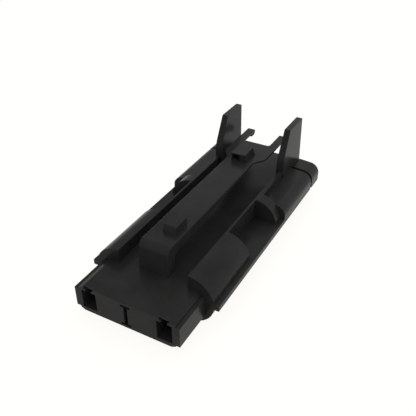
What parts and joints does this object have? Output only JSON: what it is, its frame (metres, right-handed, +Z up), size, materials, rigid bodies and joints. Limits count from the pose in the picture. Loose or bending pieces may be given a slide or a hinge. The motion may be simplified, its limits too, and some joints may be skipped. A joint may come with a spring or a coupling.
{
  "type": "connector housing",
  "caption": "Moulded plastic connector housing with a flat mating nose, side barrels with open windows, a top latch arm between guard fins, and a rear cover with wire holes.",
  "frame": {"origin": "centre of the underside, halfway along the length, on the surface that the housing lies on", "axes": "+Y runs from the mating nose to the rear end, +Z points up to the latch arm, and +X is to the right when looking along +Y"},
  "size_m": [0.0274, 0.0618, 0.0194],
  "materials": {
    "housing_plastic": "satin moulded nylon",
    "cover_plastic": "satin moulded nylon"
  },
  "bodies": {
    "root": {"housing": "housing_plastic", "rear_cover": "cover_plastic"}
  },
  "joints": []
}
